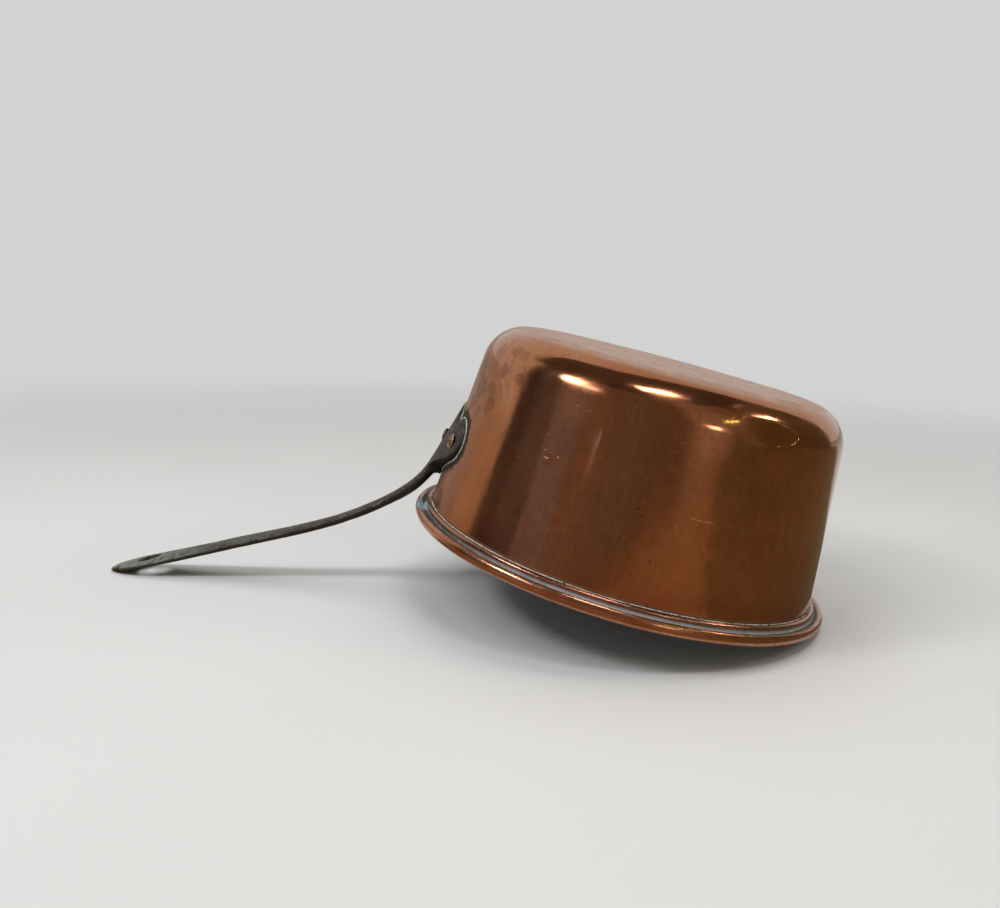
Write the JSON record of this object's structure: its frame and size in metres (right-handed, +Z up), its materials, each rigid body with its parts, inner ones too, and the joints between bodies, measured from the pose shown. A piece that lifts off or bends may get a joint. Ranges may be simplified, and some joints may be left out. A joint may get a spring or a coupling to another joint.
{
  "type": "saucepan",
  "caption": "Copper saucepan resting upside down on its rolled, wired rim and handle tip, with a riveted forged iron handle that ends in a hanging hole.",
  "frame": {"origin": "centre of the bounding box's footprint, on the table that the pan rests on", "axes": "+Z up from the table; +X from the handle's tip towards the pan, in the pan's plane of symmetry; the pan lies upside down, its base facing up and tilted 12.5 degrees towards +X"},
  "size_m": [0.4266, 0.24, 0.1572],
  "materials": {
    "copper": "aged, once polished copper",
    "rim_copper": "aged copper, verdigris in the groove",
    "tin": "dull wiped tin",
    "solder": "pale, crusted",
    "wire_iron": "black iron",
    "handle_iron": "forged, dull, lightly pitted",
    "rivet_copper": "worn copper"
  },
  "bodies": {
    "root": {"pan_body": "copper", "tin_lining": "tin", "rim_ring": "rim_copper", "rim_wire": "wire_iron", "rim_solder": "solder", "handle": "handle_iron", "rivet_middle": "rivet_copper", "rivet_left": "rivet_copper", "rivet_right": "rivet_copper"}
  },
  "joints": []
}
